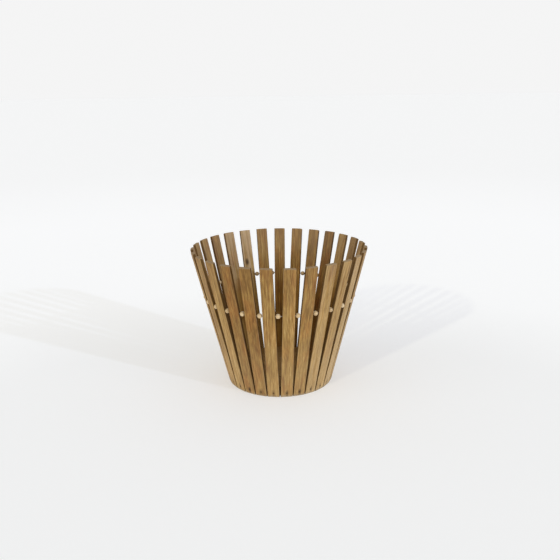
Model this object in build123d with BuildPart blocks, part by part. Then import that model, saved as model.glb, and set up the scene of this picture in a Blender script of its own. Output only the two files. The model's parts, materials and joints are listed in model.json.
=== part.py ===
"""Flared round wastebasket made of flat wooden slats.

The slats stand shoulder to shoulder round the bevelled edge of a wooden base disc, each held by one
nail, and lean outwards so that they open like a fan towards the rim.  A steel wire hoop runs through
every slat from edge to edge, two thirds of the way up, and carries one loose wooden bead in each gap.

Frame: millimetres, +Z up, origin at the centre of the underside, closing gap between the first and
the last slat facing -Y.  Slats and gaps are counted from that gap, through +X, the back and -X.
"""
from build123d import *
from math import asin, cos, degrees, radians, sin, tan
import os

# ---- driving dimensions ------------------------------------------------------------------------
slat_count = 27
slat_length = 288.0        # along the outer face, floor to rim
slat_width = 23.4
slat_thickness = 6.5
slat_edge_radius = 0.8     # long edges sanded round
slat_top_ease = 0.4        # sanded corner round the square-cut top
foot_radius = 107.5        # outer face of a slat where it meets the floor
flare_angle = 14.0         # lean of the slats from the vertical, degrees
closing_gap_angle = 0.65   # what the last gap is wider than the others, degrees

disc_thickness = 22.0
disc_edge_ease = 0.8       # sanded corner round the disc's upper edge

ring_height = 183.0        # the wire hoop and the bead centres above the floor
wire_radius = 0.9
wire_end_gap = 1.0         # between the hoop's two ends, hidden in the back slat
wire_hole_radius = 1.25    # straight hole through a slat for the curved wire
bead_radius = 4.75
bead_bore_radius = 1.0
bead_side_play = 0.3       # from the last bead to the slat that it has slid against

nail_height = 9.0          # head centre above the floor
nail_length = 20.0
nail_shank_radius = 0.8
nail_head_radius = 1.5
nail_head_thickness = 0.6
nail_head_proud = 0.1      # head above the wood's surface
nail_point_length = 2.4
nail_tip_radius = 0.1
nail_hole_gap = 0.05       # all round the nail, in the slat and in the disc

# ---- worked out from them ----------------------------------------------------------------------
slat_pitch = (360.0 - closing_gap_angle) / slat_count
flare_slope = tan(radians(flare_angle))
wall_across = slat_thickness / cos(radians(flare_angle))   # slat thickness measured level
disc_radius = foot_radius - wall_across                    # at the underside
mid_wall_radius = foot_radius + ring_height * flare_slope - wall_across / 2
edge_bulge = (slat_width / 2) ** 2 / (2 * mid_wall_radius)   # a slat's edges stand out by this much
hoop_radius = mid_wall_radius + edge_bulge / 2


def slat_azimuth(number):
    """Angle of a slat's centre line, from the front (-Y) towards +X, degrees."""
    return closing_gap_angle / 2 + (number - 0.5) * slat_pitch


def bead_azimuth(number):
    """Angle of a bead: mid gap, but the last one has slid against the last slat."""
    if number < slat_count:
        return closing_gap_angle / 2 + number * slat_pitch
    reach = slat_width / 2 + bead_radius + bead_side_play
    return slat_azimuth(slat_count) + degrees(asin(reach / hoop_radius))


def outward(azimuth):
    """Level unit vector from the basket's axis towards an azimuth."""
    return Vector(sin(radians(azimuth)), -cos(radians(azimuth)), 0)


def around(azimuth):
    """Level unit vector along the ring at an azimuth, towards growing azimuth."""
    return Vector(cos(radians(azimuth)), sin(radians(azimuth)), 0)


def slat_plane(azimuth):
    """Cross-section plane of a slat: X across its width, Y inwards from its outer face, Z up it."""
    lean = outward(azimuth) * sin(radians(flare_angle)) + Vector(0, 0, cos(radians(flare_angle)))
    return Plane(origin=outward(azimuth) * foot_radius, x_dir=around(azimuth), z_dir=lean)


def nail_plane(azimuth):
    """Plane on a slat's outer face at its nail, Z pointing out of the wood."""
    section = slat_plane(azimuth)
    origin = section.origin + section.z_dir * (nail_height / section.z_dir.Z)
    return Plane(origin=origin, x_dir=around(azimuth), z_dir=section.y_dir * -1)


def ring_plane(azimuth, radius):
    """Plane square across the wire hoop, Z pointing along the wire."""
    origin = outward(azimuth) * radius + Vector(0, 0, ring_height)
    return Plane(origin=origin, x_dir=outward(azimuth), z_dir=around(azimuth))


def write(part, name):
    part.label = name
    export_step(part, f"parts/{name}.step")


def make_slat(azimuth):
    """A flat board leaning outwards, with its foot cut level and its top cut square."""
    foot_allowance = slat_thickness * flare_slope
    section = slat_plane(azimuth)
    with BuildPart() as slat:
        with BuildSketch(section.offset(-foot_allowance)):
            with Locations((0, slat_thickness / 2)):
                RectangleRounded(slat_width, slat_thickness, slat_edge_radius)
        extrude(amount=slat_length + foot_allowance)
        chamfer(slat.faces().sort_by(Axis(section.origin, section.z_dir))[-1].edges(), slat_top_ease)
        split(bisect_by=Plane.XY, keep=Keep.TOP)
        with Locations(ring_plane(azimuth, mid_wall_radius)):
            Cylinder(wire_hole_radius, slat_width * 2, mode=Mode.SUBTRACT)
        with Locations(nail_plane(azimuth)):
            CounterBoreHole(
                radius=nail_shank_radius + nail_hole_gap,
                counter_bore_radius=nail_head_radius + nail_hole_gap,
                counter_bore_depth=nail_head_thickness - nail_head_proud + nail_hole_gap,
                depth=slat_thickness * 2,
            )
    return slat


def make_bead(azimuth):
    """A round bead threaded on the hoop."""
    with BuildPart() as bead:
        with Locations(ring_plane(azimuth, hoop_radius)):
            Sphere(bead_radius)
            Cylinder(bead_bore_radius, bead_radius * 3, mode=Mode.SUBTRACT)
    return bead


os.makedirs("parts", exist_ok=True)
slat_numbers = range(1, slat_count + 1)

# ---- base disc: edge bevelled to the slats' lean, with a blind hole for each nail -----------------
disc_rim_radius = disc_radius + disc_thickness * flare_slope
with BuildPart() as base_disc:
    with BuildSketch(Plane.XZ):
        with BuildLine():
            Polyline((0, 0), (disc_radius, 0), (disc_rim_radius, disc_thickness), (0, disc_thickness), close=True)
        make_face()
    revolve(axis=Axis.Z)
    chamfer(base_disc.edges().group_by(Axis.Z)[-1], disc_edge_ease)
    for number in slat_numbers:
        with Locations(nail_plane(slat_azimuth(number))):
            Hole(radius=nail_shank_radius + nail_hole_gap, depth=nail_length + nail_hole_gap)
write(base_disc.part, "base_disc")

# ---- slats -----------------------------------------------------------------------------------
for number in slat_numbers:
    slat = make_slat(slat_azimuth(number))
    write(slat.part, f"slat_{number:02d}")

# ---- one nail through the foot of each slat into the disc -----------------------------------------
with BuildPart() as slat_nails:
    for number in slat_numbers:
        seat = nail_plane(slat_azimuth(number))
        with BuildSketch(seat.offset(nail_head_proud)):
            Circle(nail_head_radius)
        extrude(amount=-nail_head_thickness)
        with BuildSketch(seat):
            Circle(nail_shank_radius)
        extrude(amount=nail_point_length - nail_length)
        with BuildSketch(seat.offset(nail_point_length - nail_length)):
            Circle(nail_shank_radius)
        with BuildSketch(seat.offset(-nail_length)):
            Circle(nail_tip_radius)
        loft()
write(slat_nails.part, "slat_nails")

# ---- wire hoop: a full turn, its ends butted inside the back slat ---------------------------------
wire_end_angle = degrees(wire_end_gap / hoop_radius)
with BuildPart() as wire_hoop:
    with BuildSketch(ring_plane(180.0 + wire_end_angle / 2, hoop_radius)):
        Circle(wire_radius)
    revolve(axis=Axis.Z, revolution_arc=360.0 - wire_end_angle)
write(wire_hoop.part, "wire_hoop")

# ---- beads -----------------------------------------------------------------------------------
for number in slat_numbers:
    bead = make_bead(bead_azimuth(number))
    write(bead.part, f"bead_{number:02d}")
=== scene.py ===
import json
import math
import random

import bmesh
import bpy
import numpy as np
from mathutils import Matrix, Vector


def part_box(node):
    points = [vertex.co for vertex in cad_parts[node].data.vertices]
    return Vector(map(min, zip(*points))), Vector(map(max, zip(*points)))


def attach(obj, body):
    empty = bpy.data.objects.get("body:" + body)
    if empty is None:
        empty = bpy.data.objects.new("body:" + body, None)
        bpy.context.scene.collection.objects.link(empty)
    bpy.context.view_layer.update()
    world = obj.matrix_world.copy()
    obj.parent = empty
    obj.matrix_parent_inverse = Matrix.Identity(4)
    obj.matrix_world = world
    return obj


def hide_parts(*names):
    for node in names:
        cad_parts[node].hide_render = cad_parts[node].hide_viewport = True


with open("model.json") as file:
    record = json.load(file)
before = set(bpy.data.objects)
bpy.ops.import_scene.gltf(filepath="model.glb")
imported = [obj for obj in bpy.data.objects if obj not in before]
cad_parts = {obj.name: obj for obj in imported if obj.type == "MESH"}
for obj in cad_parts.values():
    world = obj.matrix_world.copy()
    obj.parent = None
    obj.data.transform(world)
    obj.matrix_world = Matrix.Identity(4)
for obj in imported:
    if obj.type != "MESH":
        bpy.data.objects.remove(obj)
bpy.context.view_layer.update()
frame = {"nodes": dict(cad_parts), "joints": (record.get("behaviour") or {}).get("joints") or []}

# A flared wastebasket of wooden slats, with beads on a wire hoop between them.  Slats, beads, nails and
# hoop are made anew here, the slats and beads with small faults of their own; the base disc keeps its
# CAD mesh and gets a new material.  Metres, +Z up, floor at zero; the closing gap between the first and
# the last slat faces -Y.
MM = 0.001

# ---- the basket's driving dimensions, as in the CAD model ------------------------------------------
SLAT_LENGTH = 288.0 * MM
SLAT_THICKNESS = 6.5 * MM
SLAT_EDGE_RADIUS = 0.8 * MM
FLARE = math.radians(14.0)
NAIL_HEIGHT = 9.0 * MM
NAIL_HEAD_RADIUS = 1.5 * MM
NAIL_HEAD_THICKNESS = 0.6 * MM
NAIL_HEAD_PROUD = 0.1 * MM
NAIL_SHANK_RADIUS = 0.8 * MM
NAIL_LENGTH = 20.0 * MM
WIRE_RADIUS = 0.9 * MM
WIRE_HOLE_RADIUS = 1.25 * MM
WIRE_END_GAP = 1.0 * MM
BEAD_RADIUS = 4.75 * MM
BEAD_BORE_RADIUS = 1.0 * MM

# ---- read from the frame ---------------------------------------------------------------------------
SLATS = sorted(name for name in frame["nodes"] if name.startswith("slat_") and name[5:].isdigit())
JOINTS = sorted(frame["joints"], key=lambda joint: joint["name"])
BACK_LOW, BACK_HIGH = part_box(SLATS[len(SLATS) // 2])
SLAT_WIDTH = BACK_HIGH.x - BACK_LOW.x
FOOT_RADIUS = BACK_LOW.y + SLAT_THICKNESS / math.cos(FLARE)
RING_HEIGHT = JOINTS[0]["pos_m"][2]
RING_RADIUS = math.hypot(*JOINTS[0]["pos_m"][:2])
DISC_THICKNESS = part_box("base_disc")[1].z
NAIL_LEVEL = NAIL_HEIGHT / math.cos(FLARE)   # along a slat's outer face, from the floor


def azimuth_of(point):
    """Angle from the front (-Y) towards +X."""
    return math.atan2(point[0], -point[1])


BEAD_PITCH = azimuth_of(JOINTS[1]["pos_m"]) - azimuth_of(JOINTS[0]["pos_m"])
FIRST_SLAT_AZIMUTH = azimuth_of(JOINTS[0]["pos_m"]) - BEAD_PITCH / 2
SLAT_AZIMUTHS = [FIRST_SLAT_AZIMUTH + i * BEAD_PITCH for i in range(len(SLATS))]


def outward(azimuth):
    """Level direction from the basket's axis towards an azimuth."""
    return Vector((math.sin(azimuth), -math.cos(azimuth), 0.0))


def around(azimuth):
    """Level direction along the ring at an azimuth, towards growing azimuth."""
    return Vector((math.cos(azimuth), math.sin(azimuth), 0.0))


def frame_matrix(origin, x_axis, y_axis, z_axis):
    """Turns and moves a piece's own axes to the given ones."""
    matrix = Matrix((x_axis, y_axis, z_axis)).transposed().to_4x4()
    matrix.translation = origin
    return matrix


def slat_matrix(azimuth):
    """Slat's own axes: X across its width, Y inwards from its outer face, Z up it from the floor."""
    up = Vector((0, 0, 1))
    lean = outward(azimuth) * math.sin(FLARE) + up * math.cos(FLARE)
    inward = up * math.sin(FLARE) - outward(azimuth) * math.cos(FLARE)
    return frame_matrix(outward(azimuth) * FOOT_RADIUS, around(azimuth), inward, lean)


# ---- mesh making -----------------------------------------------------------------------------------
def new_object(name, data):
    """An object in the scene for a mesh, a lamp or a camera."""
    made = bpy.data.objects.new(name, data)
    bpy.context.scene.collection.objects.link(made)
    return made


def mesh_from(name, points, faces):
    mesh = bpy.data.meshes.new(name)
    mesh.from_pydata([tuple(p) for p in points], [], faces)
    mesh.validate()
    mesh.update()
    return mesh


def smooth(mesh, sharp_degrees):
    """Smooth shading with creases where faces meet at more than the given angle."""
    mesh.polygons.foreach_set("use_smooth", [True] * len(mesh.polygons))
    mesh.set_sharp_from_angle(angle=math.radians(sharp_degrees))


def coordinates(mesh):
    flat = np.empty(len(mesh.vertices) * 3, np.float32)
    mesh.vertices.foreach_get("co", flat)
    return flat.reshape(-1, 3).astype(float)


def set_coordinates(mesh, points):
    mesh.vertices.foreach_set("co", np.asarray(points, np.float32).ravel())
    mesh.update()


def store(mesh, name, vectors):
    """Keeps a vector for each vertex, which materials read by name."""
    layer = mesh.attributes.new(name, "FLOAT_VECTOR", "POINT")
    layer.data.foreach_set("vector", np.asarray(vectors, np.float32).ravel())


def store_same(mesh, name, vector):
    """Keeps the same vector for every vertex."""
    store(mesh, name, np.tile(vector, (len(mesh.vertices), 1)))


def tube(rings, closed_ends=True):
    """Points and faces of a skin through rings of points, all with the same count."""
    count = len(rings[0])
    points = [point for ring in rings for point in ring]
    faces = []
    for level in range(len(rings) - 1):
        low, high = level * count, (level + 1) * count
        for i in range(count):
            j = (i + 1) % count
            faces.append((low + i, low + j, high + j, high + i))
    if closed_ends:
        faces.append(tuple(reversed(range(count))))
        faces.append(tuple(range(len(points) - count, len(points))))
    return points, faces


def lathe(profile, segments):
    """Rings for tube() from a profile of (radius, height) turned about Z."""
    rings = []
    for radius, height in profile:
        turn = [2 * math.pi * i / segments for i in range(segments)]
        rings.append([(radius * math.cos(a), radius * math.sin(a), height) for a in turn])
    return rings


def arc(centre, radius, start, end, steps):
    """Points of a circular arc in a plane, angles in degrees."""
    angles = [math.radians(start + (end - start) * i / steps) for i in range(steps + 1)]
    return [(centre[0] + radius * math.cos(a), centre[1] + radius * math.sin(a)) for a in angles]


def weld(mesh):
    """Joins the points that lie on each other and turns every face outwards."""
    work = bmesh.new()
    work.from_mesh(mesh)
    bmesh.ops.remove_doubles(work, verts=work.verts, dist=0.001 * MM)
    bmesh.ops.recalc_face_normals(work, faces=work.faces)
    work.to_mesh(mesh)
    work.free()


def carved(body, cutters):
    """Mesh of a body with the cutters taken out of it."""
    for cutter in cutters:
        modifier = body.modifiers.new("cut", "BOOLEAN")
        modifier.operation = "DIFFERENCE"
        modifier.solver = "EXACT"
        modifier.object = cutter
    graph = bpy.context.evaluated_depsgraph_get()
    mesh = bpy.data.meshes.new_from_object(body.evaluated_get(graph))
    for item in [body, *cutters]:
        bpy.data.objects.remove(item)
    return mesh


CREASE_DEGREES = 40   # faces that meet at more than this keep a sharp edge between them


def finished(name, mesh, material, crease_degrees=CREASE_DEGREES):
    """The scene's object for a mesh that stands where it belongs."""
    smooth(mesh, crease_degrees)
    mesh.materials.clear()
    mesh.materials.append(material)
    return new_object(name, mesh)


# ---- slats -----------------------------------------------------------------------------------------
WIDTH_STEPS = 10
DEPTH_STEPS = 3
CORNER_STEPS = 4
LENGTH_STEPS = 64
TOP_EASE_STEPS = 3
HOLE_SEGMENTS = 24
TOP_EASE = 0.6 * MM         # rounding of the top's edges
FOOT_EASE = 0.3 * MM        # and of the foot's
NAIL_SEAT_FIT = 1.06        # the seat's radius over the nail head's
SEAT_CUTTER_RISE = 1 * MM   # how far the seat's cutter stands out of the face


def slat_section(inset):
    """Rounded rectangle outline of a slat, drawn in by inset, from its outer face's left end."""
    half, radius = SLAT_WIDTH / 2 - inset, SLAT_EDGE_RADIUS
    near, far = inset, SLAT_THICKNESS - inset
    corners = [(half - radius, near + radius, -90), (half - radius, far - radius, 0),
               (radius - half, far - radius, 90), (radius - half, near + radius, 180)]
    steps = [DEPTH_STEPS, WIDTH_STEPS, DEPTH_STEPS, WIDTH_STEPS]
    outline = []
    for index, (x, y, start) in enumerate(corners):
        bend = arc((x, y), radius, start, start + 90, CORNER_STEPS)
        next_x, next_y, next_start = corners[(index + 1) % 4]
        goal = arc((next_x, next_y), radius, next_start, next_start + 90, CORNER_STEPS)[0]
        outline += bend
        for i in range(1, steps[index]):
            share = i / steps[index]
            outline.append(tuple(a + (b - a) * share for a, b in zip(bend[-1], goal)))
    return outline


def cylinder(name, radius, low, high):
    """A cutter along Z."""
    return new_object(name, mesh_from(name, *tube(lathe([(radius, low), (radius, high)], HOLE_SEGMENTS))))


def slat_prototype():
    """One perfect slat in its own axes, with its wire hole and the seat of its nail head."""
    rings = []
    for inset, lift in ((FOOT_EASE, 0.0), (FOOT_EASE / 3, FOOT_EASE / 3), (0.0, FOOT_EASE)):
        rings.append([(x, y, lift - y * math.tan(FLARE)) for x, y in slat_section(inset)])
    body_top = SLAT_LENGTH - TOP_EASE
    for step in range(1, LENGTH_STEPS + 1):
        rings.append([(x, y, body_top * step / LENGTH_STEPS) for x, y in slat_section(0.0)])
    for inward, rise in arc((0.0, 0.0), 1.0, 0, 90, TOP_EASE_STEPS)[1:]:
        ring_inset = TOP_EASE * (1 - inward)
        rings.append([(x, y, body_top + TOP_EASE * rise) for x, y in slat_section(ring_inset)])
    body = new_object("slat_body", mesh_from("slat_body", *tube(rings)))

    drill = cylinder("drill", WIRE_HOLE_RADIUS, -SLAT_WIDTH, SLAT_WIDTH)
    middle = SLAT_THICKNESS / 2
    drill_level = (RING_HEIGHT - middle * math.sin(FLARE)) / math.cos(FLARE)
    drill.matrix_world = Matrix.Translation((0, middle, drill_level)) @ Matrix.Rotation(math.pi / 2, 4, "Y")

    seat_depth = NAIL_HEAD_THICKNESS - NAIL_HEAD_PROUD
    seat = cylinder("seat", NAIL_HEAD_RADIUS * NAIL_SEAT_FIT, -SEAT_CUTTER_RISE, seat_depth)
    seat.matrix_world = Matrix.Translation((0, 0, NAIL_LEVEL)) @ Matrix.Rotation(-math.pi / 2, 4, "X")
    bpy.context.view_layer.update()
    return carved(body, [drill, seat])


# A slat's small faults.  Each slat draws its own amount of each, up to these.
CORNER_WEAR = 0.12 * MM              # off the long corners
TOP_CORNER_WEAR = 0.25 * MM          # more of it near the top
WEAR_WAVES = (0.09, 0.037, 0.021)    # wavelengths along the slat, metres
NARROWING = 0.018                    # share of the width
SIDE_WAVINESS = 0.12 * MM
SIDE_WAVES = (0.31, 0.17)
FACE_WAVINESS = 0.06 * MM
FACE_WAVES = (0.12, 0.05)
BOW = 0.25 * MM                      # between the disc and the wire
LEAN = 1.0 * MM                      # the top drawn inwards
SWAY = 0.5 * MM                      # the top moved sideways
TWIST = 0.03                         # the top turned, as a slope
CUT_SHORT = (0.3 * MM, 0.75 * MM)    # least and most that the top lacks
CUT_SKEW = 0.3 * MM                  # one side of the top against the other
WORN_CORNER = 0.5 * MM               # off the top's two ends
GRIPPED_FOOT = 1.3                   # height up to which the disc holds a slat still, over its thickness
SHIFT_LEFT_ABOVE = 0.5               # share of a foot's shift that is left at the wire and above


def fade(value, start, end):
    """0 below start, 1 above end, straight between."""
    return np.clip((value - start) / (end - start), 0, 1)


def waves(along, rng, wavelengths, amplitude):
    """Smooth random undulation along a board, within about the given amplitude."""
    total = np.zeros_like(along)
    for length in wavelengths:
        total += np.sin(along / length * 2 * math.pi + rng.uniform(0, 2 * math.pi)) * rng.uniform(0.4, 1.0)
    return total * amplitude / len(wavelengths)


def weathered(points, rng, foot_shift):
    """A perfect slat's points with one slat's own small faults: cut, width, bow, twist and worn edges."""
    x, y, z = points.T.copy()
    free = fade(z, RING_HEIGHT, SLAT_LENGTH)                                    # beyond the wire
    held = np.sin(fade(z, GRIPPED_FOOT * DISC_THICKNESS, RING_HEIGHT) * math.pi)   # between disc and wire
    edge = fade(np.abs(x) / (SLAT_WIDTH / 2), 0.6875, 1.0)
    face = fade(np.abs(y / SLAT_THICKNESS - 0.5), 0.3, 0.5)
    corner = edge * face
    top = fade(z / SLAT_LENGTH, 0.975, 1.0)

    wear = CORNER_WEAR * (1 + waves(z, rng, WEAR_WAVES, 1.2)) + TOP_CORNER_WEAR * top
    x = x - np.sign(x) * corner * wear
    y = y + np.sign(SLAT_THICKNESS / 2 - y) * corner * wear
    x = x * (1 - rng.uniform(0.0, NARROWING))
    x = x + waves(z, rng, SIDE_WAVES, SIDE_WAVINESS) * held
    y = y + waves(z, rng, FACE_WAVES, FACE_WAVINESS) * (y / SLAT_THICKNESS - 0.5) * held
    bow = rng.uniform(-BOW, BOW)
    lean = rng.uniform(0.0, LEAN)
    y = y + bow * held + lean * free ** 1.5
    x = x + rng.uniform(-SWAY, SWAY) * free
    y = y + x * rng.uniform(-TWIST, TWIST) * free
    cut = rng.uniform(*CUT_SHORT) + lean * math.tan(FLARE)
    skew = (x / SLAT_WIDTH) * rng.uniform(-CUT_SKEW, CUT_SKEW)
    z = z - (cut + skew) * free
    z = z - top * edge * rng.uniform(0.0, WORN_CORNER) * (1 + np.sign(x) * rng.uniform(-1, 1))
    x = x + foot_shift * (1 - (1 - SHIFT_LEFT_ABOVE) * fade(z, 0.0, RING_HEIGHT))
    z = np.maximum(z, -y * math.tan(FLARE))                                     # nothing under the floor
    return np.stack([x, y, z], 1)


# Slats with a look of their own: (lightness, redness, paleness), each 0 to 1.
NOTED_LOOKS = {
    "slat_01": (0.57, 0.45, 0.05), "slat_02": (0.46, 0.55, 0.05), "slat_03": (0.82, 0.30, 0.30),
    "slat_04": (0.78, 0.30, 0.25), "slat_05": (0.95, 0.25, 0.45), "slat_27": (0.56, 0.35, 0.05),
    "slat_26": (0.34, 0.55, 0.0), "slat_25": (0.34, 0.65, 0.0), "slat_24": (0.76, 0.25, 0.10),
    "slat_23": (0.62, 0.30, 0.10), "slat_10": (0.62, 0.40, 0.20), "slat_11": (0.16, 0.85, 0.0),
    "slat_12": (0.48, 0.45, 0.15), "slat_13": (0.58, 0.45, 0.05), "slat_14": (0.45, 0.50, 0.05),
    "slat_15": (0.54, 0.40, 0.05), "slat_16": (0.85, 0.35, 1.0), "slat_17": (0.70, 0.70, 0.7),
    "slat_18": (0.34, 0.60, 0.10),
}
# Slats whose feet stand off their even spacing, and how far along the ring.
NOTED_SHIFTS = {"slat_11": 0.8 * MM, "slat_12": 0.7 * MM, "slat_16": -0.7 * MM, "slat_18": 0.9 * MM}
# How dark the iron stain round a slat's nail is, 0 to 1.
NAIL_STAINS = {"slat_01": 0.65, "slat_02": 0.8, "slat_24": 0.6, "slat_25": 1.0, "slat_26": 0.6,
               "slat_27": 0.4}
KNOT_SLAT = "slat_16"
KNOT_PLACE = (0.38, 0.755)   # across the slat's half width, along its length
GRAIN_SLOPE = 0.035          # steepest run of the grain across a slat
TREE_REACH = 400             # millimetres either way, across the grain, from which slats are cut
TREE_LENGTH = 2000           # and along it


def make_slat(name, azimuth, prototype, material):
    """One slat with its own faults, cut from its own part of the tree."""
    rng = random.Random(name)
    mesh = prototype.copy()
    mesh.name = name + "_wood"
    perfect = coordinates(prototype)
    set_coordinates(mesh, weathered(perfect, rng, NOTED_SHIFTS.get(name, 0.0)))

    # "wood": place in the tree in millimetres, grain along Z.
    slope = rng.uniform(-GRAIN_SLOPE, GRAIN_SLOPE)
    shift = np.array([rng.uniform(-reach, reach) for reach in (TREE_REACH, TREE_REACH, TREE_LENGTH)])
    grain = perfect / MM
    grain[:, 0] += grain[:, 2] * slope
    store(mesh, "wood", grain + shift)

    # "place": -1 to 1 across the slat, 0 to 1 through it from its outer face, 0 to 1 up it.
    store(mesh, "place", perfect / np.array([SLAT_WIDTH / 2, SLAT_THICKNESS, SLAT_LENGTH]))

    # "look": lightness, redness, paleness.  "marks": nail stain, knot.
    look = NOTED_LOOKS.get(name, (rng.uniform(0.3, 0.7), rng.uniform(0.1, 0.6), rng.uniform(0.0, 0.25)))
    store_same(mesh, "look", look)
    stain = NAIL_STAINS.get(name, rng.uniform(0.25, 0.6))
    store_same(mesh, "marks", (stain, 1.0 if name == KNOT_SLAT else 0.0, 0.0))

    mesh.transform(slat_matrix(azimuth))
    piece = finished(name + "_teak", mesh, material)
    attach(piece, "basket")
    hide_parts(name)


# ---- beads -----------------------------------------------------------------------------------------
BEAD_SEGMENTS = 36
BEAD_ARC_STEPS = 28
BORE_EASE = 0.25 * MM    # break of the bore's two mouths
BEAD_SHRINKAGE = 0.02    # most that a bead's radius falls short by, as a share


def bead_profile(bead_radius):
    """Closed outline of a bead in (radius, height): the ball, then back through its bore."""
    mouth = BEAD_BORE_RADIUS + BORE_EASE
    pole = math.degrees(math.acos(mouth / bead_radius))
    ball = arc((0.0, 0.0), bead_radius, -pole, pole, BEAD_ARC_STEPS)
    end = ball[-1][1]
    bore = [(BEAD_BORE_RADIUS, end - BORE_EASE), (BEAD_BORE_RADIUS, BORE_EASE - end)]
    return ball + bore


def make_bead(joint, material):
    """A bead on its joint, turned from its own piece of wood and spun to a random rest."""
    name = joint["child"]
    rng = random.Random(name)
    profile = bead_profile(BEAD_RADIUS * (1 - rng.uniform(0.0, BEAD_SHRINKAGE)))
    rings = lathe(profile + profile[:1], BEAD_SEGMENTS)
    mesh = mesh_from(name + "_wood", *tube(rings, closed_ends=False))
    weld(mesh)
    shift = np.array([rng.uniform(-200, 200) for _ in range(3)])
    tilt = np.array(Matrix.Rotation(rng.uniform(0, math.pi), 3, (rng.random(), rng.random(), 0.2)))
    store(mesh, "wood", coordinates(mesh) / MM @ tilt.T + shift)
    store_same(mesh, "look", (rng.random(), rng.random(), rng.random()))
    axis = Vector(joint["axis"]).normalized()
    side = axis.orthogonal().normalized()
    spin = Matrix.Rotation(rng.uniform(0, 2 * math.pi), 4, "Z")
    mesh.transform(frame_matrix(Vector(joint["pos_m"]), side, axis.cross(side), axis) @ spin)
    piece = finished(name + "_turned", mesh, material)
    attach(piece, joint["child"])
    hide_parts(name)


# ---- wire hoop -------------------------------------------------------------------------------------
WIRE_STEPS = 360
WIRE_SEGMENTS = 14


def make_wire(material):
    """One turn of round wire through slats and beads, its two ends facing each other inside the back slat."""
    half_gap = WIRE_END_GAP / RING_RADIUS / 2
    section = lathe([(WIRE_RADIUS, 0.0)], WIRE_SEGMENTS)[0]
    rings = []
    for step in range(WIRE_STEPS + 1):
        azimuth = math.pi + half_gap + 2 * (math.pi - half_gap) * step / WIRE_STEPS
        centre = outward(azimuth) * RING_RADIUS + Vector((0, 0, RING_HEIGHT))
        seat = frame_matrix(centre, outward(azimuth), Vector((0, 0, 1)), around(azimuth))
        rings.append([seat @ Vector(point) for point in section])
    mesh = mesh_from("wire_hoop_steel", *tube(rings))
    weld(mesh)
    piece = finished("wire_hoop_steel", mesh, material)
    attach(piece, "basket")
    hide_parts("wire_hoop")


# ---- nails -----------------------------------------------------------------------------------------
NAIL_POINT_LENGTH = 2.4 * MM
NAIL_TIP_RADIUS = 0.1 * MM
NAIL_SEGMENTS = 20
NAIL_CREASE_DEGREES = 50   # leaves the head's dome smooth
# The domed head: share of the head's radius, and drop below the top of the dome.
NAIL_DOME = [(0.55, 0.03 * MM), (0.92, 0.12 * MM), (1.0, 0.28 * MM)]


def nail_profile():
    """Outline of a nail in (radius, height) from its point up, height zero at the wood's surface."""
    head_underside = NAIL_HEAD_PROUD - NAIL_HEAD_THICKNESS
    point = [(NAIL_TIP_RADIUS, -NAIL_LENGTH), (NAIL_SHANK_RADIUS, NAIL_POINT_LENGTH - NAIL_LENGTH)]
    neck = [(NAIL_SHANK_RADIUS, head_underside), (NAIL_HEAD_RADIUS, head_underside)]
    dome = [(NAIL_HEAD_RADIUS * share, NAIL_HEAD_PROUD - drop) for share, drop in reversed(NAIL_DOME)]
    return point + neck + dome + [(NAIL_TIP_RADIUS, NAIL_HEAD_PROUD)]


def make_nails(material):
    """All the nails as one piece, one through each slat's foot, each turned its own way."""
    points, faces, seeds = [], [], []
    for name, azimuth in zip(SLATS, SLAT_AZIMUTHS):
        rng = random.Random(name + " nail")
        one, skin = tube(lathe(nail_profile(), NAIL_SEGMENTS))
        place = (NOTED_SHIFTS.get(name, 0.0), 0, NAIL_LEVEL)
        seat = slat_matrix(azimuth) @ Matrix.Translation(place) @ Matrix.Rotation(math.pi / 2, 4, "X")
        turn = Matrix.Rotation(rng.uniform(0, 2 * math.pi), 4, "Z")
        faces += [tuple(len(points) + corner for corner in face) for face in skin]
        points += [seat @ turn @ Vector(point) for point in one]
        seeds += [(rng.random(), rng.random(), rng.random())] * len(one)
    mesh = mesh_from("slat_nails_steel", points, faces)
    store(mesh, "look", seeds)
    piece = finished("slat_nails_steel", mesh, material, NAIL_CREASE_DEGREES)
    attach(piece, "basket")
    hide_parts("slat_nails")


# ---- materials -------------------------------------------------------------------------------------
def rgb(red, green, blue):
    return (red, green, blue, 1.0)


def set_stops(ramp, stops):
    """Gives a colour ramp its (position, colour) stops."""
    points = ramp.color_ramp.elements
    while len(points) < len(stops):
        points.new(0.5)
    for point, (position, colour) in zip(points, stops):
        point.position = position
        point.color = colour


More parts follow.
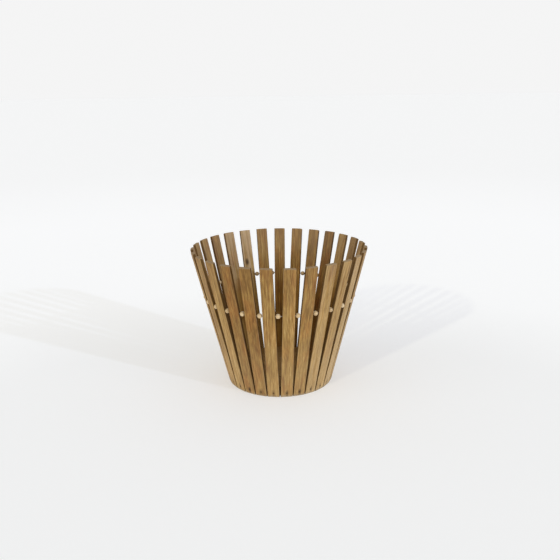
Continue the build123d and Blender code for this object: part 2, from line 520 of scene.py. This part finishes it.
class Surface:
    """A material's node graph, with one short call for each kind of node it uses."""

    def __init__(self, name):
        self.material = bpy.data.materials.new(name)
        self.material.use_nodes = True
        self.tree = self.material.node_tree
        self.shader = self.tree.nodes["Principled BSDF"]

    def node(self, kind, inputs=(), **settings):
        made = self.tree.nodes.new("ShaderNode" + kind)
        for key, value in settings.items():
            setattr(made, key, value)
        for key, value in dict(inputs).items():
            self.feed(made.inputs[key], value)
        return made

    def feed(self, socket, value):
        if isinstance(value, bpy.types.NodeSocket):
            self.tree.links.new(value, socket)
        else:
            socket.default_value = value

    def attribute(self, name):
        """A vector kept on the mesh's vertices by store()."""
        return self.node("Attribute", attribute_name=name).outputs["Vector"]

    def parts(self, vector):
        """A vector's three numbers."""
        return self.node("SeparateXYZ", {0: vector}).outputs[:3]

    def math(self, operation, *values):
        return self.node("Math", enumerate(values), operation=operation).outputs[0]

    def sum(self, *values):
        total = values[0]
        for value in values[1:]:
            total = self.math("ADD", total, value)
        return total

    def times(self, a, b):
        return self.math("MULTIPLY", a, b)

    def less(self, a, b):
        return self.math("SUBTRACT", a, b)

    def size_of(self, a, b):
        """Length of the level vector (a, b)."""
        return self.math("SQRT", self.sum(self.times(a, a), self.times(b, b)))

    def rise(self, value, start, end):
        """0 below start, 1 above end, smooth between; falls instead when end is below start."""
        inputs = {"Value": value, "From Min": start, "From Max": end}
        return self.node("MapRange", inputs, interpolation_type="SMOOTHSTEP").outputs[0]

    def stretched(self, vector, x, y, z):
        return self.node("VectorMath", {0: vector, 1: (x, y, z)}, operation="MULTIPLY").outputs[0]

    def moved(self, vector, offset):
        return self.node("VectorMath", {0: vector, 1: offset}, operation="ADD").outputs[0]

    def noise(self, vector, detail=3.0, roughness=0.55):
        inputs = {"Vector": vector, "Scale": 1.0, "Detail": detail, "Roughness": roughness}
        return self.node("TexNoise", inputs).outputs["Fac"]

    def grain(self, wood, across, along, detail=3.0, roughness=0.55):
        """Noise drawn out along the grain; how many features to the millimetre across it and along it."""
        return self.noise(self.stretched(wood, across, across, along), detail, roughness)

    def blend(self, share, a, b, kind="MIX"):
        mixer = self.node("Mix", data_type="RGBA", blend_type=kind)
        colour_sockets = [socket for socket in mixer.inputs if socket.type == "RGBA"]
        for socket, value in zip([mixer.inputs[0], *colour_sockets], (share, a, b)):
            self.feed(socket, value)
        return next(socket for socket in mixer.outputs if socket.type == "RGBA")

    def ramp(self, share, stops):
        ramp = self.node("ValToRGB", {0: share})
        set_stops(ramp, stops)
        return ramp.outputs[0]

    def bump(self, height, distance, strength=1.0):
        """Relief of the given depth in metres; height runs from 0 to 1."""
        relief = self.node("Bump", {"Height": height, "Distance": distance, "Strength": strength})
        self.feed(self.shader.inputs["Normal"], relief.outputs[0])

    def set(self, **sockets):
        for key, value in sockets.items():
            self.feed(self.shader.inputs[key.replace("_", " ")], value)
        return self.material


RING_SWAY = 26.0   # millimetres by which the growth rings wander


def wood_figure(s, wood, ring_spacing):
    """Growth rings, long streaks, fibres and pores of a board; wood in millimetres, grain along Z."""
    drift = s.times(s.grain(wood, 0.012, 0.007, detail=2.0), RING_SWAY)
    x, y, _ = s.parts(wood)
    year = s.math("FRACT", s.math("DIVIDE", s.size_of(s.sum(x, drift), s.sum(y, drift)), ring_spacing))
    rings = s.times(s.rise(year, 0.15, 0.85), s.rise(year, 1.0, 0.88))
    streaks = s.grain(wood, 0.55, 0.009, detail=5.0, roughness=0.62)
    fibres = s.grain(wood, 2.6, 0.06, detail=4.0, roughness=0.6)
    pores = s.rise(s.grain(wood, 3.6, 0.24, detail=1.0), 0.56, 0.70)
    crowd = s.rise(s.grain(wood, 0.40, 0.05, detail=2.0), 0.36, 0.62)
    return rings, streaks, fibres, s.times(pores, crowd)


TEAK_RING_SPACING = 3.1   # millimetres
TEAK_TONES = [(0.0, rgb(0.095, 0.044, 0.010)), (0.35, rgb(0.225, 0.117, 0.030)),
              (0.62, rgb(0.385, 0.228, 0.064)), (1.0, rgb(0.62, 0.43, 0.180))]
TEAK_TONE_OFFSET = -0.96   # brings the summed figure of a slat to the middle of these tones
TEAK_BLUSH = rgb(0.60, 0.42, 0.34)
TEAK_PALE = rgb(0.56, 0.41, 0.26)
TEAK_PORE = rgb(0.15, 0.08, 0.035)
TEAK_RUBBED = rgb(0.46, 0.33, 0.20)
END_GRAIN = [(0.35, rgb(0.20, 0.13, 0.070)), (0.65, rgb(0.44, 0.32, 0.19))]
# Near black: the slats' sawn sides, partly their darker sawn wood and partly painted shade between
# neighbouring slats, and the disc's edge between their feet, painted shade.
SAWN_FACE_AND_SHADE = rgb(0.080, 0.034, 0.003)
# Multiplied into the lower inner face: painted shade deep inside the basket.
INNER_PAINTED_SHADE = rgb(0.66, 0.54, 0.22)
FOOT_TONES = [(0.32, rgb(0.19, 0.13, 0.075)), (0.55, rgb(0.42, 0.34, 0.23))]
NAIL_STAIN = rgb(0.060, 0.034, 0.016)
KNOT_BROWN = rgb(0.065, 0.032, 0.014)
# Millimetres from a mark's middle: where it fades out, where it is full, and how far its edge wanders.
STAIN_REACH, STAIN_CORE, STAIN_RAGGED = 6.0, 2.6, 3.0
KNOT_REACH, KNOT_CORE, KNOT_RAGGED = 7.6, 2.6, 2.4
# A millimetre along the grain counts as this much across it, so a mark is drawn out along the grain.
STAIN_STRETCH, KNOT_STRETCH = 0.42, 0.55
TEAK_RELIEF = 0.12 * MM


def teak_wood_with_painted_underlight(s, wood, along, look, figure):
    """Colour of the wood itself, before anything was done to it, with painted light from below: lighter and
    paler towards the foot.
    """
    lightness, redness, paleness = look
    rings, streaks, fibres, pores = figure
    mottle = s.grain(wood, 0.045, 0.018)
    flecks = s.grain(wood, 0.32, 0.045, detail=4.0, roughness=0.6)
    # The along term is painted light from below: the tone grows lighter towards the foot.
    tone = s.sum(s.times(lightness, 0.42), s.times(streaks, 1.05), s.times(flecks, 0.85),
                 s.times(fibres, 0.40), s.times(mottle, 0.40), s.times(rings, -0.07), s.times(along, -0.15),
                 TEAK_TONE_OFFSET)
    colour = s.ramp(tone, TEAK_TONES)
    blush = s.times(s.rise(s.grain(wood, 0.07, 0.022, detail=2.0), 0.42, 0.68), redness)
    colour = s.blend(blush, colour, TEAK_BLUSH, "SOFT_LIGHT")
    bleached = s.times(s.rise(s.grain(wood, 0.25, 0.012, detail=4.0), 0.30, 0.62), paleness)
    colour = s.blend(s.times(bleached, 0.75), colour, TEAK_PALE)
    colour = s.blend(s.times(pores, 0.60), colour, TEAK_PORE)
    # Painted light from below: the lower part is blended paler.
    return s.blend(s.times(s.rise(along, 0.60, 0.15), 0.10), colour, TEAK_PALE)


def teak_faces(s, wood, colour, along, edge, end, sawn_side_and_shade, inside):
    """Rubbed corners, sawn top, sides painted dark partly as painted shade, painted shade low on the inner
    face and painted light near its top, and the scuffed foot.
    """
    rub = s.rise(s.grain(wood, 0.2, 0.03), 0.35, 0.65)
    speckle = s.grain(wood, 1.6, 0.4, detail=2.0)
    colour = s.blend(s.times(s.times(edge, rub), 0.35), colour, TEAK_RUBBED)
    colour = s.blend(s.times(end, 0.75), colour, s.ramp(speckle, END_GRAIN))
    # The sides painted near black: partly the sawn wood's darker tone, partly painted shade.
    colour = s.blend(s.times(sawn_side_and_shade, 0.85), colour, SAWN_FACE_AND_SHADE)
    # Painted shade on the inner face low down, painted light on it near the top.
    inside_painted_shade = s.times(inside, s.rise(along, 0.75, 0.50))
    inside_painted_light = s.times(inside, s.rise(along, 0.70, 0.95))
    colour = s.blend(s.times(inside_painted_shade, 0.95), colour, INNER_PAINTED_SHADE, "MULTIPLY")
    colour = s.blend(s.times(inside_painted_light, 0.15), colour, TEAK_PALE)
    foot = s.rise(s.sum(along, s.times(s.less(rub, 0.5), 0.010)), 0.021, 0.004)
    return s.blend(s.times(foot, 0.6), colour, s.ramp(speckle, FOOT_TONES))


def teak_marks(s, wood, colour, place, marks):
    """Iron stain round the nail on the outer face, and a small knot right through the one slat with it."""
    across, through, along = place
    stain_strength, knot_here, _ = marks
    ragged = s.grain(wood, 0.9, 0.15)

    side = s.times(across, SLAT_WIDTH / 2 / MM)
    rise = s.times(s.less(s.times(along, SLAT_LENGTH / MM), NAIL_LEVEL / MM), STAIN_STRETCH)
    halo = s.rise(s.sum(s.size_of(side, rise), s.times(ragged, STAIN_RAGGED)), STAIN_REACH, STAIN_CORE)
    stained = s.times(s.times(halo, s.rise(through, 0.6, 0.1)), stain_strength)
    colour = s.blend(s.times(stained, 0.9), colour, NAIL_STAIN)

    side = s.times(s.less(across, KNOT_PLACE[0]), SLAT_WIDTH / 2 / MM)
    rise = s.times(s.less(along, KNOT_PLACE[1]), SLAT_LENGTH / MM * KNOT_STRETCH)
    knot = s.rise(s.sum(s.size_of(side, rise), s.times(ragged, KNOT_RAGGED)), KNOT_REACH, KNOT_CORE)
    return s.blend(s.times(s.times(knot, knot_here), 0.9), colour, KNOT_BROWN)


def teak_material(name):
    """Oiled teak of the slats, read from each slat's own wood, place, look and marks."""
    s = Surface(name)
    wood = s.attribute("wood")
    place = s.parts(s.attribute("place"))
    across, through, along = place
    figure = wood_figure(s, wood, TEAK_RING_SPACING)
    _, streaks, fibres, pores = figure

    off_middle = s.math("ABSOLUTE", across)
    edge = s.rise(off_middle, 0.90, 1.0)
    end = s.rise(along, 0.9968, 0.9992)
    # The slat's two sides, which take partly real dark sawn wood and partly painted shade.
    sawn_side_and_shade = s.times(s.rise(off_middle, 0.955, 0.99), s.rise(through, 0.03, 0.25))
    inside = s.rise(through, 0.75, 0.95)
    colour = teak_wood_with_painted_underlight(s, wood, along, s.parts(s.attribute("look")), figure)
    colour = teak_faces(s, wood, colour, along, edge, end, sawn_side_and_shade, inside)
    colour = teak_marks(s, wood, colour, place, s.parts(s.attribute("marks")))

    rough = s.sum(0.50, s.times(fibres, 0.14), s.times(pores, 0.15), s.times(end, 0.2), s.times(sawn_side_and_shade, 0.30),
                  s.times(inside, 0.15))
    s.bump(s.sum(s.times(fibres, 0.5), s.times(streaks, 0.3), s.times(pores, -0.45)), TEAK_RELIEF, 0.8)
    return s.set(Base_Color=colour, Roughness=rough, Specular_IOR_Level=0.22)


BEAD_TONES = [(0.15, rgb(0.32, 0.19, 0.08)), (0.5, rgb(0.60, 0.42, 0.21)), (0.85, rgb(0.82, 0.65, 0.42))]
BEAD_RELIEF = 0.05 * MM


def bead_material(name):
    """Pale turned hardwood with a waxed sheen."""
    s = Surface(name)
    wood = s.attribute("wood")
    shade, _, _ = s.parts(s.attribute("look"))
    lines = s.grain(wood, 1.1, 0.08, detail=4.0, roughness=0.6)
    cloud = s.grain(wood, 0.3, 0.2, detail=2.0)
    tone = s.sum(s.times(lines, 0.6), s.times(cloud, 0.4), s.times(shade, 0.3), -0.15)
    s.bump(lines, BEAD_RELIEF, 0.6)
    return s.set(Base_Color=s.ramp(tone, BEAD_TONES), Roughness=s.sum(0.22, s.times(cloud, 0.16)),
                 Specular_IOR_Level=0.6)


NAIL_GRIT = 900.0    # grains to the metre
NAIL_DARK = rgb(0.050, 0.030, 0.017)
NAIL_RUST = rgb(0.085, 0.038, 0.015)
NAIL_RELIEF = 0.04 * MM


def nail_material(name):
    """Dull dark nail steel with a little rust."""
    s = Surface(name)
    spot = s.node("TexCoord").outputs["Object"]
    grit = s.noise(s.stretched(spot, NAIL_GRIT, NAIL_GRIT, NAIL_GRIT), detail=4.0)
    shade, _, _ = s.parts(s.attribute("look"))
    rust = s.rise(s.sum(grit, s.times(shade, 0.25)), 0.50, 0.75)
    s.bump(grit, NAIL_RELIEF, 0.7)
    return s.set(Base_Color=s.blend(rust, NAIL_DARK, NAIL_RUST), Metallic=s.sum(0.35, s.times(rust, -0.3)),
                 Roughness=s.sum(0.58, s.times(grit, 0.3)), Specular_IOR_Level=0.25)


WIRE_TARNISH = 260.0   # patches to the metre
WIRE_BRIGHT = rgb(0.46, 0.44, 0.40)
WIRE_DULL = rgb(0.20, 0.17, 0.14)
WIRE_RELIEF = 0.02 * MM


def wire_material(name):
    """Drawn steel wire, slightly tarnished."""
    s = Surface(name)
    spot = s.node("TexCoord").outputs["Object"]
    tarnish = s.noise(s.stretched(spot, WIRE_TARNISH, WIRE_TARNISH, WIRE_TARNISH), detail=4.0)
    s.bump(tarnish, WIRE_RELIEF, 0.5)
    return s.set(Base_Color=s.blend(s.rise(tarnish, 0.35, 0.7), WIRE_BRIGHT, WIRE_DULL), Metallic=0.95,
                 Roughness=s.sum(0.28, s.times(tarnish, 0.25)))


BOARD_RING_SPACING = 5.5         # millimetres
BOARD_IN_TREE = (160.0, 45.0)    # millimetres from the tree's heart to the middle of the board's underside
BOARD_SCUFFS = (55.0, 90.0, 60.0)    # to the metre, along X, Y and Z
BOARD_RELIEF = 0.15 * MM
BEVEL_PAINTED_SHADE_FADE = (0.6, 0.2)          # millimetres inside the bevel between which its near-black painted shade fades in


def disc_material(name):
    """The base board: teak, grain running left to right, duller and scuffed, with its sawn bevel painted near
    black as shade where it shows between the slats' feet.
    """
    s = Surface(name)
    spot = s.node("TexCoord").outputs["Object"]
    x, y, z = s.parts(s.stretched(spot, 1 / MM, 1 / MM, 1 / MM))
    from_heart = {0: s.sum(y, BOARD_IN_TREE[0]), 1: s.sum(z, BOARD_IN_TREE[1]), 2: x}
    wood = s.node("CombineXYZ", from_heart).outputs[0]
    rings, streaks, fibres, pores = wood_figure(s, wood, BOARD_RING_SPACING)
    mottle = s.grain(wood, 0.02, 0.006)
    tone = s.sum(s.times(streaks, 0.5), s.times(fibres, 0.22), s.times(mottle, 0.35), s.times(rings, -0.16))
    colour = s.ramp(tone, TEAK_TONES)
    colour = s.blend(s.times(pores, 0.4), colour, TEAK_PORE)
    scuff = s.rise(s.noise(s.stretched(spot, *BOARD_SCUFFS), detail=6.0, roughness=0.7), 0.56, 0.7)
    colour = s.blend(s.times(scuff, 0.3), colour, TEAK_RUBBED)
    rim_radius = (FOOT_RADIUS - SLAT_THICKNESS / math.cos(FLARE)) / MM
    past_rim = s.sum(s.size_of(x, y), s.times(z, -math.tan(FLARE)), -rim_radius)
    # Painted shade: the disc's edge past the slats' inner face, seen only through the gaps, is made near
    # black.
    colour = s.blend(s.rise(past_rim, -BEVEL_PAINTED_SHADE_FADE[0], -BEVEL_PAINTED_SHADE_FADE[1]), colour, SAWN_FACE_AND_SHADE)
    s.bump(s.sum(s.times(fibres, 0.5), s.times(streaks, 0.3), s.times(pores, -0.4)), BOARD_RELIEF, 0.8)
    return s.set(Base_Color=colour, Roughness=s.sum(0.52, s.times(fibres, 0.16), s.times(scuff, 0.1)),
                 Specular_IOR_Level=0.3)


PAPER_SHADE_FRONT = 0.6   # metres in front of the basket's axis, where the paper's painted shade is greyest
PAPER_REACH = 4.0         # metres from there over which its tone changes
# Painted light and shade: the paper's tone, greyer near the basket's front and lighter farther off in place
# of a lit backdrop.
PAPER_PAINTED_LIGHT_TONES = [(0.20, rgb(0.665, 0.667, 0.670)), (0.30, rgb(0.745, 0.747, 0.753)),
               (0.6, rgb(0.755, 0.756, 0.765)), (1.0, rgb(0.712, 0.712, 0.715))]
PAPER_GLOW = 0.36         # strength of its own white light


def paper_material(name):
    """White studio paper with a faint glow, painted a little greyer round a point on the floor before the
    basket and lighter farther off, as painted shade and light.
    """
    s = Surface(name)
    spot = s.moved(s.node("TexCoord").outputs["Object"], (0.0, PAPER_SHADE_FRONT, 0.0))
    distance = s.node("VectorMath", {0: spot}, operation="LENGTH").outputs["Value"]
    return s.set(Base_Color=s.ramp(s.times(distance, 1 / PAPER_REACH), PAPER_PAINTED_LIGHT_TONES), Roughness=0.9,
                 Specular_IOR_Level=0.0, Emission_Color=rgb(1.0, 1.0, 1.0), Emission_Strength=PAPER_GLOW)


# ---- stage -----------------------------------------------------------------------------------------
FLOOR_HALF_SIDE = 25.0

WHITE = (1.0, 1.0, 1.0)
COOL = (0.66, 0.78, 1.0)
WARM = (1.0, 0.98, 0.74)

# White studio walls under a dim ceiling: brightness at each height of view, 0 level to 1 straight up.
STUDIO_LEVELS = [(0.0, 0.91), (0.12, 0.91), (0.45, 0.62), (1.0, 0.50)]

CAMERA_PLACE = (0.0151, -1.3435, 0.6008)
CAMERA_TARGET = (0.0016, -0.0035, 0.2100)
CAMERA_ROLL = math.radians(-0.776)
CAMERA_LENS = 44.2       # millimetres
CAMERA_SENSOR = 36.0     # millimetres across


def make_stage(material):
    """A level floor of white paper that runs out to the horizon, so that no side of the basket is hidden."""
    corners = [(-1, -1), (1, -1), (1, 1), (-1, 1)]
    points = [(x * FLOOR_HALF_SIDE, y * FLOOR_HALF_SIDE, 0.0) for x, y in corners]
    floor = new_object("studio_floor", mesh_from("studio_floor", points, [(0, 1, 2, 3)]))
    floor.data.materials.append(material)


def aim(holder, place, target):
    """Puts a camera or lamp at a place and turns it towards a target."""
    holder.location = place
    holder.rotation_euler = (Vector(target) - Vector(place)).to_track_quat("-Z", "Y").to_euler()


def make_light(name, azimuth, elevation, spread, strength, colour):
    """Light from far off, angles in degrees: azimuth from the front towards +X, spread its seen width."""
    lamp = bpy.data.lights.new(name, "SUN")
    lamp.angle = math.radians(spread)
    lamp.energy = strength
    lamp.color = colour
    holder = new_object(name, lamp)
    level = outward(math.radians(azimuth)) * math.cos(math.radians(elevation))
    aim(holder, level + Vector((0, 0, math.sin(math.radians(elevation)))), (0.0, 0.0, 0.0))


def make_camera():
    """The main view, from the front and above the rim."""
    camera = new_object("camera", bpy.data.cameras.new("camera"))
    camera.data.lens = CAMERA_LENS
    camera.data.sensor_width = CAMERA_SENSOR
    aim(camera, CAMERA_PLACE, CAMERA_TARGET)
    turned = camera.rotation_euler.to_matrix() @ Matrix.Rotation(CAMERA_ROLL, 3, "Z")
    camera.rotation_euler = turned.to_euler()
    bpy.context.scene.camera = camera


def make_world(levels):
    """The studio round the basket, its brightness set by height of view alone."""
    world = bpy.data.worlds.new("studio")
    world.use_nodes = True
    tree = world.node_tree
    height = tree.nodes.new("ShaderNodeSeparateXYZ")
    tree.links.new(tree.nodes.new("ShaderNodeTexCoord").outputs["Generated"], height.inputs[0])
    ramp = tree.nodes.new("ShaderNodeValToRGB")
    tree.links.new(height.outputs["Z"], ramp.inputs[0])
    set_stops(ramp, [(rise, rgb(level, level, level)) for rise, level in levels])
    tree.links.new(ramp.outputs[0], tree.nodes["Background"].inputs["Color"])
    bpy.context.scene.world = world


# ---- build -----------------------------------------------------------------------------------------
teak = teak_material("oiled_teak")
prototype = slat_prototype()
for slat_name, slat_azimuth in zip(SLATS, SLAT_AZIMUTHS):
    make_slat(slat_name, slat_azimuth, prototype, teak)
make_nails(nail_material("dull_nail_steel"))
pale_wood = bead_material("pale_hardwood")
for joint in JOINTS:
    make_bead(joint, pale_wood)
make_wire(wire_material("tarnished_wire"))
base_disc = frame["nodes"]["base_disc"].data
base_disc.materials.clear()
base_disc.materials.append(disc_material("teak_board"))

make_stage(paper_material("studio_paper"))
make_camera()
make_world(STUDIO_LEVELS)
make_light("right_softbox", azimuth=60, elevation=17, spread=34, strength=0.27, colour=WHITE)
make_light("left_softbox", azimuth=-70, elevation=20, spread=37, strength=0.24, colour=WHITE)
make_light("right_lamp", azimuth=56, elevation=18, spread=1.2, strength=0.83, colour=COOL)
make_light("left_lamp", azimuth=-36.5, elevation=25, spread=1.8, strength=0.55, colour=WARM)
bpy.context.scene.view_settings.view_transform = "Standard"

bpy.context.view_layer.update()
